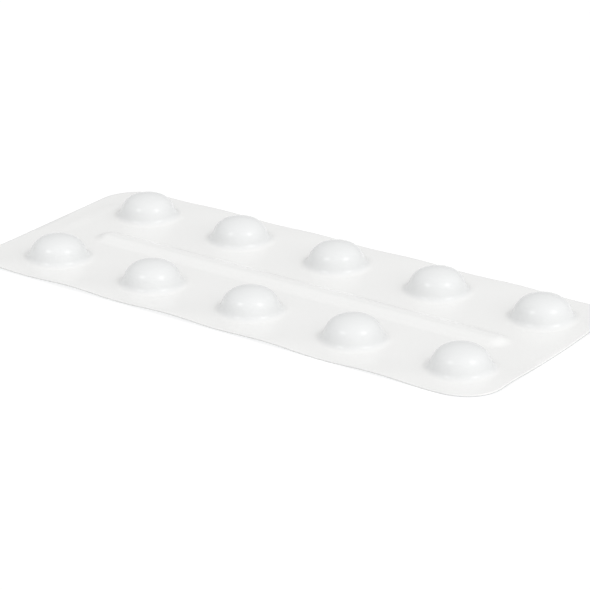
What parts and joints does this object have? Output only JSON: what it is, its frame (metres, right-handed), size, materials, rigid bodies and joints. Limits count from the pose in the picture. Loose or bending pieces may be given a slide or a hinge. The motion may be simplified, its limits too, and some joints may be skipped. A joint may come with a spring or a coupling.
{
  "type": "blister pack",
  "caption": "Sealed blister pack for tablets: a thin white formed film with round domed pockets in rows, a low bead between the rows and a flat foil that closes it underneath.",
  "frame": {"origin": "middle of the flat foil face that the pack lies on", "axes": "+X along the rows of pockets, towards the plain end; +Z out of the foil face, the way the pockets stand"},
  "size_m": [0.096, 0.041, 0.0041],
  "materials": {
    "forming_film": "satin gloss, opaque white",
    "lidding_foil": "dull silver, knurled where it is sealed"
  },
  "bodies": {
    "root": {"blister_pack": "forming_film"}
  },
  "joints": []
}
